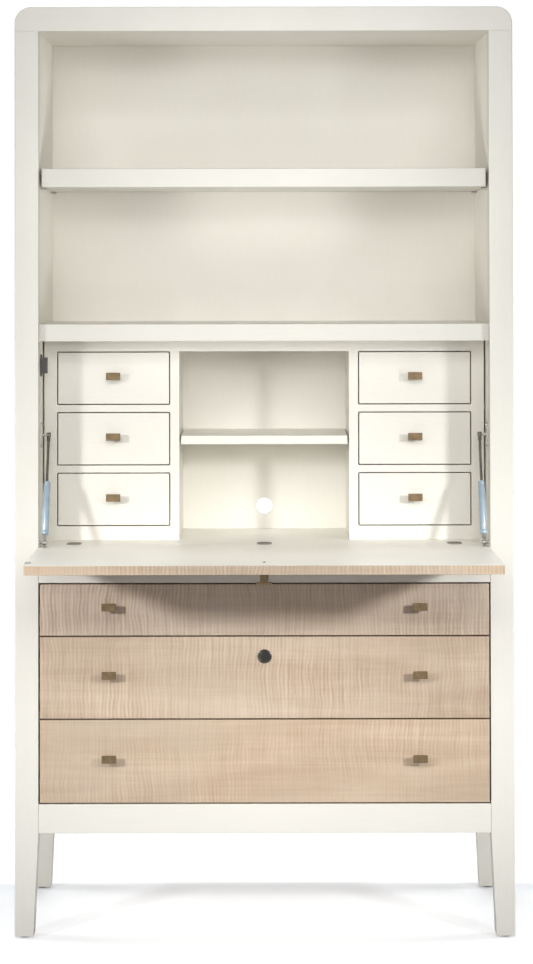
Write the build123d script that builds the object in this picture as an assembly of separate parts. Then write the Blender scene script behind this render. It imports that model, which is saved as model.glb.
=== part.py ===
from build123d import *
import math
import os

os.makedirs("parts", exist_ok=True)

# A secretary desk: two tall sides with legs, an open bookcase, a drop-lid desk
# compartment with small drawers, and three wide drawers below.
# Millimetres. X runs across, -Y is the front, Z is up from the floor. "depth"
# is measured back from the front plane of the posts, "z" from the floor, and
# "side" is -1 on the left and +1 on the right.

# Overall size
WIDTH = 1066.8
HEIGHT = 1987.5
DEPTH = 508.0

# Posts and legs
POST = 50.8
POST_EASING = 2.5
FOOT_WIDTH = 40.0
TAPER_TOP = 223.0
GLIDE_RADIUS = 12.0
GLIDE_HEIGHT = 5.0
GLIDE_EASING = 1.5
TOP_THICKNESS = 52.0
TOP_EASING = 2.0
CORNER_RADIUS = 35.0

# Case walls and shelves
WALL = 16.0
PANEL = 12.0
PANEL_RECESS = 4.0
CORE_RAIL = 40.0
BACK_DEPTH = 380.0
BACK_THICKNESS = 8.0
SHELF_RECESS = 20.0
SHELF_EASING = 1.5
SHELF_BACK_GAP = 1.0
UPPER_SHELF_BOTTOM = 1601.5
UPPER_SHELF_THICKNESS = 40.0
UPPER_SHELF_WIDTH = 954.0
MID_SHELF_BOTTOM = 1270.5
MID_SHELF_THICKNESS = 37.0
PIN_RADIUS = 2.5
PIN_OUT = 12.0
PIN_IN = 9.0
PIN_BOTTOMING = 1.0
PIN_SETBACK = 40.0
CABLE_HOLE_RADIUS = 19.0
CABLE_HOLE_RISE = 50.8

# Writing surface and drop lid
SURFACE = 835.4
BOARD = 19.0
JOINT_DEPTH = 45.0
JOINT_GAP = 1.0
LID_REACH = 388.0
LID_HALF_WIDTH = 478.6
FACE_SHEET = 1.0
LID_EASING = 1.0
HINGE_X = 409.0
HINGE_RADIUS = 16.0
HINGE_LENGTH = 33.0
HINGE_POCKET = 12.0
HINGE_PLATE = 2.5
HINGE_CUP_RADIUS = 14.0
HINGE_PIN_RADIUS = 1.5
HINGE_PIN_LENGTH = 26.0
HINGE_PIN_ROOM = 0.35
SCREW_SLOT = (8.0, 1.2, 0.8)

# Desk compartment
FACE_DEPTH = 120.0
FACE_THICKNESS = 19.0
FACE_GAP = 3.0
OUTER_STILE = 28.0
CUBBY_HALF = 185.0
PARTITION = 20.0
FACE_TOP_RAIL = 24.7
SMALL_BOTTOM_RAIL = 30.1
SMALL_RAIL = 15.5
OPENING_ROUND = 3.0
RUNNER_BOARD = 9.0
RUNNER_BOARD_DROP = 1.0
SMALL_GAP = 2.2
SMALL_FRONT_THICKNESS = 16.0
SMALL_FRONT_EASING = 1.0
SMALL_BOX_INSET = 2.0
SMALL_BOX_DROP = 14.0
SMALL_BOX_SIDE = 8.0
SMALL_BOX_BACK = 352.0
SMALL_BOX_BOTTOM = (3.0, 4.0)
CUBBY_SHELF_TOP = 1062.0
CUBBY_SHELF_THICKNESS = 19.0
CUBBY_SHELF_HALF = 181.5

# Drawer base
FRONT_SETBACK = 1.5
FRONT_THICKNESS = 20.0
FRONT_EASING = 1.2
RAIL_EASING = 1.0
GAP = 3.0
SIDE_GAP = 3.0
LID_REST_GAP = 0.6
GAP_HEIGHTS = [754.2, 642.0, 465.5, 286.6]
APRON_BOTTOM = 223.0
DIVIDER = 16.0
DIVIDER_LENGTH = 60.0
DIVIDER_SETBACK = 1.5
CAM_SLOT = (-18.0, 48.0, 16.0, 14.0)
BASE_BOTTOM = 270.0
BASE_BOTTOM_THICKNESS = 14.0
REAR_RAIL = 70.0
REAR_RAIL_DEPTH = 484.0
BOX_SIDE = 12.0
BOX_BACK = 452.0
BOX_LIFT = 14.0
BOX_DROP = 13.0
BOX_BOTTOM = (6.0, 6.0)
BASE_BACK = 484.0
BASE_BACK_THICKNESS = 6.0
RAIL_BACK = 24.0
SLIDE = 6.0
SLIDE_CLEARANCE = 0.5
SLIDE_HEIGHT = 30.0
SLIDE_RISE = 40.0
SLIDE_FRONT = 8.0
SLIDE_SHORT = 12.0
RUNNER_HEIGHT = 40.0
RUNNER_FRONT = 6.0
RUNNER_LONG = 6.0

# Pulls: the plate's width, thickness and height, and the stem's width and height
PULL_PLATE = (31.0, 4.0, 16.0)
PULL_STEM = (17.0, 9.0)
PULL_EASING = 0.7
PULL_LAP = 2.0
PULL_OUT = 25.0
BASE_PULL_X = 331.0
BASE_PULL_RISE = 8.0
SMALL_PULL_RISE = 5.0
LID_PULL_SETBACK = 56.0
LID_SCREW_RADIUS = 2.5
LID_SCREW_START = 4.0
LID_SCREW_HEAD = (4.0, 1.6, 5.0)

# Lock on the middle drawer
LOCK_Z = 599.0
COLLAR_RADIUS = 15.0
COLLAR_OUT = 4.5
COLLAR_DOME = 2.0
LOCK_BARREL = 11.0
LOCK_NUT = 13.0
NUT_THICKNESS = 4.0
PLUG_RADIUS = 9.0
PLUG_OUT = 5.0
PLUG_BACK = 8.5
KEY_SLOT = (2.4, 5.0, 10.0)
CAM_LENGTH = 44.0
CAM_HALF_WIDTH = 7.0
CAM_THICKNESS = 3.0
CAM_SETBACK = 5.0
CAM_ROUND = 5.0
NOTCH_ROOM = 2.0
NOTCH_END = 48.0

# Magnet catch on the left wall, and its strike on the lid
CATCH_Z = 1218.0
CATCH_GAP = 0.4
CATCH_PLATE = (2.0, 16.0, 48.0)
CATCH_HOUSING = (15.0, 19.0, 34.0)
CATCH_EASING = 1.5
CATCH_POLE = (2.0, 5.0, 26.0)
CATCH_POLE_OUTS = (4.0, 10.0)
CATCH_SCREW_RADIUS = 3.4
CATCH_SCREW_RISE = 20.0
CATCH_SCREW_OUT = 1.4
CATCH_SCREW_EASING = 0.8
STRIKE = (12.0, 38.0, 1.2)
STRIKE_OUT = 8.0
STRIKE_ROUND = 3.0
STRIKE_SCREW_OFFSET = 11.0
STRIKE_COUNTERSINK = (1.6, 3.2)
RUNNING = 0.05
OVERCUT = 5.0

# Lid stays: gas struts with the rod uppermost
STRUT_X = 466.0
STRUT_TOP_DEPTH = 75.0
STRUT_TOP_Z = 1067.0
STRUT_FOOT = 80.0
STRUT_FOOT_RISE = 10.0
ROD_RADIUS = 3.0
ROD_LEFT_IN = 17.0
TUBE_RADIUS = 7.5
TUBE_LENGTH = 120.0
TUBE_EASING = 1.2
TUBE_FLOOR = 6.0
TUBE_NECK_LENGTH = 18.0
TUBE_NECK_RADIUS = 3.6
STUD_RADIUS = 3.0
SOCKET_RADIUS = 5.5
SOCKET_WIDTH = 9.0
SOCKET_EASING = 1.0
COLLAR_LENGTH = 9.0
ROD_COLLAR_RADIUS = 4.2
OPEN_PIVOT_GAP = 0.4
WALL_PLATE = (2.5, 18.0, 54.0)
WALL_PLATE_ROUND = 6.0
WALL_SCREW_RADIUS = 3.2
WALL_SCREW_OUT = 1.5
WALL_SCREW_PLACES = ((-4.5, 20.0), (4.5, 20.0), (0.0, -19.0))
WALL_BOSS_RADIUS = 5.0
WALL_BOSS_OUT = 6.0
LID_ANGLE_INSET = 1.0
LID_ANGLE_FOOT = (15.0, 32.0, 1.6)
LID_ANGLE_ROUND = 2.0
LID_ANGLE_UPRIGHT = (2.0, 20.0)
LID_ANGLE_EYE = 6.0
LID_ANGLE_SCREW = (2.6, 1.0)
LID_ANGLE_SCREW_IN = 9.0
LID_ANGLE_SCREW_OFFSET = 12.0

# Worked out from the values above
FRONT = (LID_REACH - DEPTH) / 2
HALF = WIDTH / 2
INNER = HALF - POST
TOP_UNDERSIDE = HEIGHT - TOP_THICKNESS
LID_BOTTOM = SURFACE - BOARD
FACE_TOP = MID_SHELF_BOTTOM
PARTITION_OUT = CUBBY_HALF + PARTITION
FACE_OUT = INNER - FACE_GAP
SMALL_OUT = FACE_OUT - OUTER_STILE
SMALL_TOP = FACE_TOP - FACE_TOP_RAIL
SMALL_HEIGHT = (SMALL_TOP - SURFACE - SMALL_BOTTOM_RAIL - 2 * SMALL_RAIL) / 3
SMALL_X = (PARTITION_OUT + SMALL_OUT) / 2
SMALL_WIDTH = SMALL_OUT - PARTITION_OUT
FRONT_BACK = FRONT_SETBACK + FRONT_THICKNESS
LID_BACK = JOINT_DEPTH - JOINT_GAP
STRUT_FOOT_DEPTH = JOINT_DEPTH - STRUT_FOOT


def save(name, *solids):
    """Writes one named piece, which may be a group of like solids."""
    shape = solids[0] if len(solids) == 1 else Compound(children=list(solids))
    export_step(shape, f"parts/{name}.step")


def block(x0, x1, depth0, depth1, z0, z1):
    """A box between two places across, two depths and two heights."""
    size = Box(abs(x1 - x0), abs(depth1 - depth0), abs(z1 - z0))
    return Pos((x0 + x1) / 2, FRONT + (depth0 + depth1) / 2, (z0 + z1) / 2) * size


def side_block(side, x0, x1, depth0, depth1, z0, z1):
    """A box on one side, with x0 and x1 measured out from the centre line."""
    return block(side * x0, side * x1, depth0, depth1, z0, z1)


def eased_front(solid, radius):
    """Rounds all edges of the foremost face."""
    return fillet(solid.faces().sort_by(Axis.Y)[0].edges(), radius)


def eased_along(solid, axis, radius):
    """Rounds all edges that run along one axis."""
    return fillet(solid.edges().filter_by(axis), radius)


def rod_x(x0, x1, depth, z, radius):
    """A round bar that runs across the desk."""
    bar = Rot(0, 90, 0) * Cylinder(radius, abs(x1 - x0))
    return Pos((x0 + x1) / 2, FRONT + depth, z) * bar


def rod_y(x, depth0, depth1, z, radius):
    """A round bar that runs from front to back."""
    bar = Rot(90, 0, 0) * Cylinder(radius, abs(depth1 - depth0))
    return Pos(x, FRONT + (depth0 + depth1) / 2, z) * bar


def rod_z(x, depth, z0, z1, radius):
    """An upright round bar."""
    return Pos(x, FRONT + depth, (z0 + z1) / 2) * Cylinder(radius, abs(z1 - z0))


# Posts, legs and sides


def leg(side, depth0):
    """A full-height stile whose foot tapers on its inner face only."""
    outline = Polyline(
        (side * HALF, GLIDE_HEIGHT),
        (side * (HALF - FOOT_WIDTH), GLIDE_HEIGHT),
        (side * INNER, TAPER_TOP),
        (side * INNER, TOP_UNDERSIDE),
        (side * HALF, TOP_UNDERSIDE),
        close=True,
    )
    profile = Plane.XZ.offset(-(FRONT + depth0)) * make_face(outline)
    solid = extrude(profile, amount=-POST)
    outer = solid.edges().filter_by(Axis.Z).group_by(Axis.X)[0 if side < 0 else -1]
    return fillet(outer, POST_EASING)


def side_panel(side):
    """The outer panel and the inner wall, hollow between, with a rail that closes the foot."""
    depth0 = POST
    depth1 = DEPTH - POST
    outside = HALF - PANEL_RECESS
    outer = side_block(side, outside - PANEL, outside, depth0, depth1, APRON_BOTTOM, TOP_UNDERSIDE)
    inner = side_block(side, INNER, INNER + WALL, depth0, depth1, APRON_BOTTOM, TOP_UNDERSIDE)
    for x, depth, z in pin_places():
        if x * side > CUBBY_HALF + WALL:
            inner -= rod_x(x - PIN_IN, x + PIN_IN, depth, z, PIN_RADIUS + RUNNING)
    core = side_block(
        side, INNER + WALL, outside - PANEL, depth0, depth1, APRON_BOTTOM, APRON_BOTTOM + CORE_RAIL
    )
    return outer, inner, core


def pin_places():
    """Where the shelf pins enter a wall: the wall's face, the depth and the height."""
    places = []
    for side in (-1, 1):
        for depth in (SHELF_RECESS + PIN_SETBACK, BACK_DEPTH - PIN_SETBACK):
            places.append((side * INNER, depth, UPPER_SHELF_BOTTOM - PIN_RADIUS))
        for depth in (FACE_DEPTH + PIN_SETBACK, BACK_DEPTH - PIN_SETBACK):
            shelf_bottom = CUBBY_SHELF_TOP - CUBBY_SHELF_THICKNESS
            places.append((side * CUBBY_HALF, depth, shelf_bottom - PIN_RADIUS))
    return places


def shelf_pin(x, depth, z):
    """A plain steel pin, let into the wall and standing out under the shelf."""
    out = -math.copysign(1, x)
    return rod_x(x - out * (PIN_IN - PIN_BOTTOMING), x + out * PIN_OUT, depth, z, PIN_RADIUS)


def top_panel():
    solid = block(-HALF, HALF, 0, DEPTH, TOP_UNDERSIDE, HEIGHT)
    ends = solid.edges().filter_by(Axis.Y).group_by(Axis.Z)[-1]
    solid = fillet(ends, CORNER_RADIUS)
    rim = solid.faces().sort_by(Axis.Y)[0].edges()
    upper = [edge for edge in rim if edge.center().Z > TOP_UNDERSIDE + TOP_EASING]
    return fillet(upper, TOP_EASING)


def foot_glides():
    glides = []
    for side in (-1, 1):
        for depth in (POST / 2, DEPTH - POST / 2):
            glide = rod_z(side * (HALF - FOOT_WIDTH / 2), depth, 0, GLIDE_HEIGHT, GLIDE_RADIUS)
            glides.append(fillet(glide.edges().group_by(Axis.Z)[0], GLIDE_EASING))
    return glides


# Shelves, backs and rails


def back_panel():
    """One back for the bookcase and the desk compartment, with the cable hole."""
    back = BACK_DEPTH + BACK_THICKNESS
    panel = block(-INNER, INNER, BACK_DEPTH, back, SURFACE, TOP_UNDERSIDE)
    hole_z = SURFACE + CABLE_HOLE_RISE
    hole = rod_y(0, BACK_DEPTH - OVERCUT, back + OVERCUT, hole_z, CABLE_HOLE_RADIUS)
    return panel - hole


def upper_shelf():
    half = UPPER_SHELF_WIDTH / 2
    top = UPPER_SHELF_BOTTOM + UPPER_SHELF_THICKNESS
    back = BACK_DEPTH - SHELF_BACK_GAP
    shelf = block(-half, half, SHELF_RECESS, back, UPPER_SHELF_BOTTOM, top)
    return eased_front(shelf, SHELF_EASING)


def mid_shelf():
    top = MID_SHELF_BOTTOM + MID_SHELF_THICKNESS
    shelf = block(-INNER, INNER, SHELF_RECESS, BACK_DEPTH, MID_SHELF_BOTTOM, top)
    return eased_front_x(shelf, SHELF_EASING)


def desk_surface():
    board = block(-INNER, INNER, JOINT_DEPTH, BASE_BACK + BASE_BACK_THICKNESS, LID_BOTTOM, SURFACE)
    return board - hinge_pockets(JOINT_DEPTH, JOINT_DEPTH + HINGE_LENGTH, 1)


def inner_frame():
    """Divider rails behind the drawer gaps, the base's bottom and the rear rails."""
    front = FRONT_BACK + DIVIDER_SETBACK
    rails = []
    for height in GAP_HEIGHTS[1:3]:
        z0 = height - DIVIDER / 2
        rail = block(-INNER, INNER, front, front + DIVIDER_LENGTH, z0, z0 + DIVIDER)
        if height == GAP_HEIGHTS[1]:
            slot_left, slot_right, slot_depth, slot_height = CAM_SLOT
            slot_top = z0 + slot_height
            rail -= block(slot_left, slot_right, front - OVERCUT, front + slot_depth, z0 - OVERCUT, slot_top)
        rails.append(rail)
    base_top = BASE_BOTTOM + BASE_BOTTOM_THICKNESS
    rails.append(block(-INNER, INNER, RAIL_BACK, BASE_BACK, BASE_BOTTOM, base_top))
    low_rail = (APRON_BOTTOM, BASE_BOTTOM)
    high_rail = (TOP_UNDERSIDE - REAR_RAIL, TOP_UNDERSIDE)
    for z0, z1 in (low_rail, high_rail):
        rails.append(block(-INNER, INNER, REAR_RAIL_DEPTH, REAR_RAIL_DEPTH + WALL, z0, z1))
    return rails


def front_rail():
    bottom = GAP_HEIGHTS[0] + GAP / 2
    rail = block(-INNER, INNER, FRONT_SETBACK, RAIL_BACK, bottom, LID_BOTTOM - LID_REST_GAP)
    return eased_front_x(rail, RAIL_EASING)


def apron():
    top = GAP_HEIGHTS[3] - GAP / 2
    rail = block(-INNER, INNER, FRONT_SETBACK, RAIL_BACK, APRON_BOTTOM, top)
    return eased_front_x(rail, RAIL_EASING)


def eased_front_x(solid, radius):
    """Rounds the two long edges of the foremost face."""
    front = solid.faces().sort_by(Axis.Y)[0].edges().filter_by(Axis.X)
    return fillet(front, radius)


# Desk compartment


def small_bottom(row):
    """The bottom of a small drawer's opening; row 0 is the top one."""
    return SMALL_TOP - (row + 1) * SMALL_HEIGHT - row * SMALL_RAIL


def organizer_frame():
    """The face frame round the small drawers and the cubby."""
    back = FACE_DEPTH + FACE_THICKNESS
    face = block(-FACE_OUT, FACE_OUT, FACE_DEPTH, back, SURFACE, FACE_TOP)
    for side in (-1, 1):
        for row in range(3):
            z0 = small_bottom(row)
            front = FACE_DEPTH - OVERCUT
            z1 = z0 + SMALL_HEIGHT
            opening = side_block(side, PARTITION_OUT, SMALL_OUT, front, back + OVERCUT, z0, z1)
            face -= eased_along(opening, Axis.Y, OPENING_ROUND)
    cubby = block(
        -CUBBY_HALF, CUBBY_HALF, FACE_DEPTH - OVERCUT, back + OVERCUT, SURFACE - OVERCUT, SMALL_TOP
    )
    return face - cubby


def organizer_partitions():
    """Upright partitions beside the cubby, and boards under and over the small drawers."""
    front = FACE_DEPTH + FACE_THICKNESS
    pieces = []
    for side in (-1, 1):
        partition = side_block(side, CUBBY_HALF, PARTITION_OUT, front, BACK_DEPTH, SURFACE, FACE_TOP)
        for x, depth, z in pin_places():
            if x == side * CUBBY_HALF:
                partition -= rod_x(x - PIN_IN, x + PIN_IN, depth, z, PIN_RADIUS + RUNNING)
        pieces.append(partition)
        for row in range(3):
            top = small_bottom(row) - RUNNER_BOARD_DROP
            bottom = top - RUNNER_BOARD
            pieces.append(side_block(side, PARTITION_OUT, INNER, front, BACK_DEPTH, bottom, top))
    ceiling = block(-CUBBY_HALF, CUBBY_HALF, front, BACK_DEPTH, SMALL_TOP, FACE_TOP)
    pieces.append(ceiling)
    return pieces


def cubby_shelf():
    bottom = CUBBY_SHELF_TOP - CUBBY_SHELF_THICKNESS
    half = CUBBY_SHELF_HALF
    back = BACK_DEPTH - SHELF_BACK_GAP
    shelf = block(-half, half, FACE_DEPTH, back, bottom, CUBBY_SHELF_TOP)
    return eased_front(shelf, SHELF_EASING)


# Drawers


def box_pieces(x0, x1, depth0, depth1, z0, z1, wall, bottom):
    """A drawer box's two sides, inner front, back and bottom, with the bottom let in above the lower edge."""
    rise, thickness = bottom
    left = block(x0, x0 + wall, depth0, depth1, z0, z1)
    right = block(x1 - wall, x1, depth0, depth1, z0, z1)
    inner_front = block(x0 + wall, x1 - wall, depth0, depth0 + wall, z0, z1)
    back = block(x0 + wall, x1 - wall, depth1 - wall, depth1, z0, z1)
    floor = block(
        x0 + wall, x1 - wall, depth0 + wall, depth1 - wall, z0 + rise, z0 + rise + thickness
    )
    return [left, right, inner_front, back, floor]


def pull(x, depth, z):
    """A T-shaped pull: a flat stem and a rectangular plate, fixed to a drawer's front."""
    width, thickness, height = PULL_PLATE
    stem_width, stem_height = PULL_STEM
    out = depth - PULL_OUT
    plate = block(x - width / 2, x + width / 2, out, out + thickness, z - height / 2, z + height / 2)
    plate = fillet(plate.edges(), PULL_EASING)
    half_width = stem_width / 2
    half_height = stem_height / 2
    stem_front = out + PULL_LAP
    stem = block(x - half_width, x + half_width, stem_front, depth, z - half_height, z + half_height)
    return plate + stem


def base_drawer(name, top_gap, bottom_gap):
    """A wide drawer: front, box, the moving slide members and two pulls."""
    z0 = bottom_gap + GAP / 2
    z1 = top_gap - GAP / 2
    half = INNER - SIDE_GAP
    front = block(-half, half, FRONT_SETBACK, FRONT_BACK, z0, z1)
    front = eased_front(front, FRONT_EASING)
    box_half = INNER - 2 * (SLIDE + SLIDE_CLEARANCE)
    box_top = z1 - BOX_DROP
    box = box_pieces(
        -box_half, box_half, FRONT_BACK, BOX_BACK, z0 + BOX_LIFT, box_top, BOX_SIDE, BOX_BOTTOM
    )
    slides = []
    for side in (-1, 1):
        slide_bottom = slide_z(z0) - SLIDE_HEIGHT / 2
        slide = side_block(
            side,
            box_half,
            box_half + SLIDE,
            FRONT_BACK + SLIDE_FRONT,
            BOX_BACK - SLIDE_SHORT,
            slide_bottom,
            slide_bottom + SLIDE_HEIGHT,
        )
        slides.append(slide)
    pull_z = (z0 + z1) / 2 + BASE_PULL_RISE
    pulls = [pull(side * BASE_PULL_X, FRONT_SETBACK, pull_z) for side in (-1, 1)]
    if name == "middle_drawer":
        front -= rod_y(0, FRONT_SETBACK - OVERCUT, FRONT_BACK + OVERCUT, LOCK_Z, LOCK_BARREL)
        box[2] -= lock_notch(box_top)
    save(f"{name}_front", front)
    save(f"{name}_box", *box)
    save(f"{name}_slides", *slides)
    save(f"{name}_pulls", *pulls)


def lock_notch(box_top):
    """The notch in the box's inner front that clears the lock's nut and its cam."""
    notch_half = LOCK_NUT + NOTCH_ROOM
    back = FRONT_BACK + BOX_SIDE + OVERCUT
    return block(
        -notch_half, NOTCH_END, FRONT_BACK - OVERCUT, back, LOCK_Z - notch_half, box_top + OVERCUT
    )


def slide_z(drawer_bottom):
    """The height of a drawer's slides, low on the box's side."""
    return drawer_bottom + SLIDE_RISE


def drawer_runners():
    """The fixed slide members on the case walls, a pair for each wide drawer."""
    front = FRONT_BACK + RUNNER_FRONT
    back = BOX_BACK + RUNNER_LONG
    runners = []
    for side in (-1, 1):
        for gap_height in GAP_HEIGHTS[1:]:
            z0 = slide_z(gap_height + GAP / 2) - RUNNER_HEIGHT / 2
            runner = side_block(side, INNER - SLIDE, INNER, front, back, z0, z0 + RUNNER_HEIGHT)
            runners.append(runner)
    return runners


def small_drawer(name, side, row):
    """A small drawer: its front and box, with one pull."""
    z0 = small_bottom(row) + SMALL_GAP
    z1 = small_bottom(row) + SMALL_HEIGHT - SMALL_GAP
    half = SMALL_WIDTH / 2 - SMALL_GAP
    x = side * SMALL_X
    back = FACE_DEPTH + SMALL_FRONT_THICKNESS
    front = block(x - half, x + half, FACE_DEPTH, back, z0, z1)
    front = eased_front(front, SMALL_FRONT_EASING)
    box_half = half - SMALL_BOX_INSET
    box = box_pieces(
        x - box_half,
        x + box_half,
        back,
        SMALL_BOX_BACK,
        z0 + SMALL_BOX_INSET,
        z1 - SMALL_BOX_DROP,
        SMALL_BOX_SIDE,
        SMALL_BOX_BOTTOM,
    )
    save(name, front, *box)
    pull_z = (z0 + z1) / 2 + SMALL_PULL_RISE
    save(name.replace("drawer", "pull"), pull(x, FACE_DEPTH, pull_z))


# Lock on the middle drawer


def lock_body():
    """A fixed sleeve through the drawer's front, with a domed collar and a nut."""
    collar = rod_y(0, FRONT_SETBACK - COLLAR_OUT, FRONT_SETBACK, LOCK_Z, COLLAR_RADIUS)
    collar = fillet(collar.faces().sort_by(Axis.Y)[0].edges(), COLLAR_DOME)
    sleeve_back = FRONT_BACK + NUT_THICKNESS
    sleeve = rod_y(0, FRONT_SETBACK, sleeve_back, LOCK_Z, LOCK_BARREL - RUNNING)
    nut = rod_y(0, FRONT_BACK, sleeve_back, LOCK_Z, LOCK_NUT)
    bore_front = FRONT_SETBACK - COLLAR_OUT - OVERCUT
    bore = rod_y(0, bore_front, sleeve_back + OVERCUT, LOCK_Z, PLUG_RADIUS + RUNNING)
    return collar + sleeve + nut - bore


def lock_plug():
    """The turning plug with its key slot, and the cam that rises into the divider rail."""
    front = FRONT_SETBACK - PLUG_OUT
    plug = rod_y(0, front, FRONT_BACK + PLUG_BACK, LOCK_Z, PLUG_RADIUS)
    slot_width, slot_depth, slot_height = KEY_SLOT
    slot_z0 = LOCK_Z - slot_height / 2
    slot_half = slot_width / 2
    plug -= block(
        -slot_half, slot_half, front - OVERCUT, front + slot_depth, slot_z0, slot_z0 + slot_height
    )
    cam_front = FRONT_BACK + CAM_SETBACK
    cam_half = CAM_HALF_WIDTH
    cam_back = cam_front + CAM_THICKNESS
    cam = block(-cam_half, CAM_LENGTH, cam_front, cam_back, LOCK_Z - cam_half, LOCK_Z + cam_half)
    cam = fillet(cam.edges().filter_by(Axis.Y), CAM_ROUND)
    return plug + cam


# Lid and its hinges


def half_oval(x, depth0, depth1, z0, z1, toward):
    """Half of an oblong plate: square at the joint, round at its far end."""
    radius = HINGE_RADIUS
    round_depth = depth1 - radius if toward > 0 else depth0 + radius
    square0 = depth0 if toward > 0 else round_depth
    square1 = round_depth if toward > 0 else depth1
    body = block(x - radius, x + radius, square0, square1, z0, z1)
    return body + rod_z(x, round_depth, z0, z1, radius)


def hinge_pockets(depth0, depth1, toward):
    """The three recesses that take one leaf of each flap hinge."""
    pockets = []
    for x in (-HINGE_X, 0, HINGE_X):
        top = SURFACE + OVERCUT
        pockets.append(half_oval(x, depth0, depth1, SURFACE - HINGE_POCKET, top, toward))
    return pockets[0] + pockets[1] + pockets[2]


def hinge_leaf(x, depth0, depth1, toward):
    """One flush leaf of a flap hinge: a plate on a round cup, with a slotted screw."""
    plate = half_oval(x, depth0, depth1, SURFACE - HINGE_PLATE, SURFACE, toward)
    middle = depth1 - HINGE_RADIUS if toward > 0 else depth0 + HINGE_RADIUS
    cup = rod_z(x, middle, SURFACE - HINGE_POCKET, SURFACE - HINGE_PLATE, HINGE_CUP_RADIUS)
    length, width, deep = SCREW_SLOT
    half = length / 2
    slot = block(
        x - half, x + half, middle - width / 2, middle + width / 2, SURFACE - deep, SURFACE + OVERCUT
    )
    return plate + cup - slot


def hinge_pin(x, extra):
    """A flap hinge's pin on the lid's axis, or the groove round it."""
    half = HINGE_PIN_LENGTH / 2 + extra
    return rod_x(x - half, x + half, JOINT_DEPTH, SURFACE, HINGE_PIN_RADIUS + extra)


def desk_hinge_leaves():
    """The three fixed leaves, each with the pin that its lid leaf turns on."""
    leaves = []
    for x in (-HINGE_X, 0, HINGE_X):
        leaf = hinge_leaf(x, JOINT_DEPTH, JOINT_DEPTH + HINGE_LENGTH, 1)
        leaves.append(leaf + hinge_pin(x, 0))
    return leaves


def lid_hinge_leaves():
    """The three moving leaves, each hollowed round its pin."""
    leaves = []
    for x in (-HINGE_X, 0, HINGE_X):
        leaf = hinge_leaf(x, LID_BACK - HINGE_LENGTH, LID_BACK, -1)
        leaves.append(leaf - hinge_pin(x, HINGE_PIN_ROOM))
    return leaves


def lid_recesses():
    """What is cut out of the lid: its hinge pockets and the hole for its pull's screw."""
    hole_depth = LID_PULL_SETBACK - LID_REACH
    hole = rod_z(0, hole_depth, LID_BOTTOM - OVERCUT, SURFACE + OVERCUT, LID_SCREW_RADIUS + RUNNING)
    return hinge_pockets(LID_BACK - HINGE_LENGTH, LID_BACK, -1) + hole


def lid_panel():
    """The maple lid, under its white inner face."""
    top = SURFACE - FACE_SHEET
    panel = block(-LID_HALF_WIDTH, LID_HALF_WIDTH, -LID_REACH, LID_BACK, LID_BOTTOM, top)
    lower = panel.faces().sort_by(Axis.Z)[0].edges()
    return fillet(lower, LID_EASING) - lid_recesses()


def lid_writing_face():
    bottom = SURFACE - FACE_SHEET
    sheet = block(-LID_HALF_WIDTH, LID_HALF_WIDTH, -LID_REACH, LID_BACK, bottom, SURFACE)
    return sheet - lid_recesses()


def lid_pull():
    """The lid's T-pull, with the screw that comes up through the lid."""
    width, thickness, height = PULL_PLATE
    stem_width, stem_height = PULL_STEM
    depth = LID_PULL_SETBACK - LID_REACH
    z_out = LID_BOTTOM - PULL_OUT
    half = height / 2
    plate = block(-width / 2, width / 2, depth - half, depth + half, z_out, z_out + thickness)
    plate = fillet(plate.edges(), PULL_EASING)
    half_stem = stem_height / 2
    stem_bottom = z_out + PULL_LAP
    stem = block(
        -stem_width / 2, stem_width / 2, depth - half_stem, depth + half_stem, stem_bottom, LID_BOTTOM
    )
    screw = rod_z(0, depth, LID_BOTTOM - LID_SCREW_START, SURFACE, LID_SCREW_RADIUS)
    head_radius, head_height, dome_radius = LID_SCREW_HEAD
    dome = Pos(0, FRONT + depth, SURFACE + head_height - dome_radius) * Sphere(dome_radius)
    head = rod_z(0, depth, SURFACE, SURFACE + head_height, head_radius) & dome
    return plate + stem + screw + head


def magnet_catch():
    """A magnet in a housing on the left wall, with its slotted fixing plate."""
    strike_thickness = STRIKE[2]
    front = JOINT_DEPTH + strike_thickness + CATCH_GAP
    wall = -INNER
    out, length, height = CATCH_HOUSING
    half = height / 2
    middle = front + CATCH_POLE[1] / 2 + length / 2
    catch = block(wall, wall + out, middle - length / 2, middle + length / 2, CATCH_Z - half, CATCH_Z + half)
    catch = fillet(catch.edges().filter_by(Axis.Z), CATCH_EASING)
    out, length, height = CATCH_PLATE
    half = height / 2
    catch += block(wall, wall + out, middle - length / 2, middle + length / 2, CATCH_Z - half, CATCH_Z + half)
    for z in (CATCH_Z - CATCH_SCREW_RISE, CATCH_Z + CATCH_SCREW_RISE):
        screw = rod_x(wall, wall + out + CATCH_SCREW_OUT, middle, z, CATCH_SCREW_RADIUS)
        catch += fillet(screw.edges().group_by(Axis.X)[-1], CATCH_SCREW_EASING)
    width, length, height = CATCH_POLE
    half = height / 2
    for out in CATCH_POLE_OUTS:
        catch += block(wall + out, wall + out + width, front, front + length, CATCH_Z - half, CATCH_Z + half)
    return catch


def lid_strike():
    """The steel plate that meets the magnet when the lid is shut."""
    width, length, thickness = STRIKE
    depth = JOINT_DEPTH - (CATCH_Z - SURFACE)
    x = -INNER + STRIKE_OUT
    strike = block(
        x - width / 2, x + width / 2, depth - length / 2, depth + length / 2, SURFACE, SURFACE + thickness
    )
    strike = fillet(strike.edges().filter_by(Axis.Z), STRIKE_ROUND)
    bottom_radius, top_radius = STRIKE_COUNTERSINK
    for offset in (-STRIKE_SCREW_OFFSET, STRIKE_SCREW_OFFSET):
        cone = Cone(bottom_radius, top_radius, thickness)
        strike -= Pos(x, FRONT + depth + offset, SURFACE + thickness / 2) * cone
    return strike


# Gas struts


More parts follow.
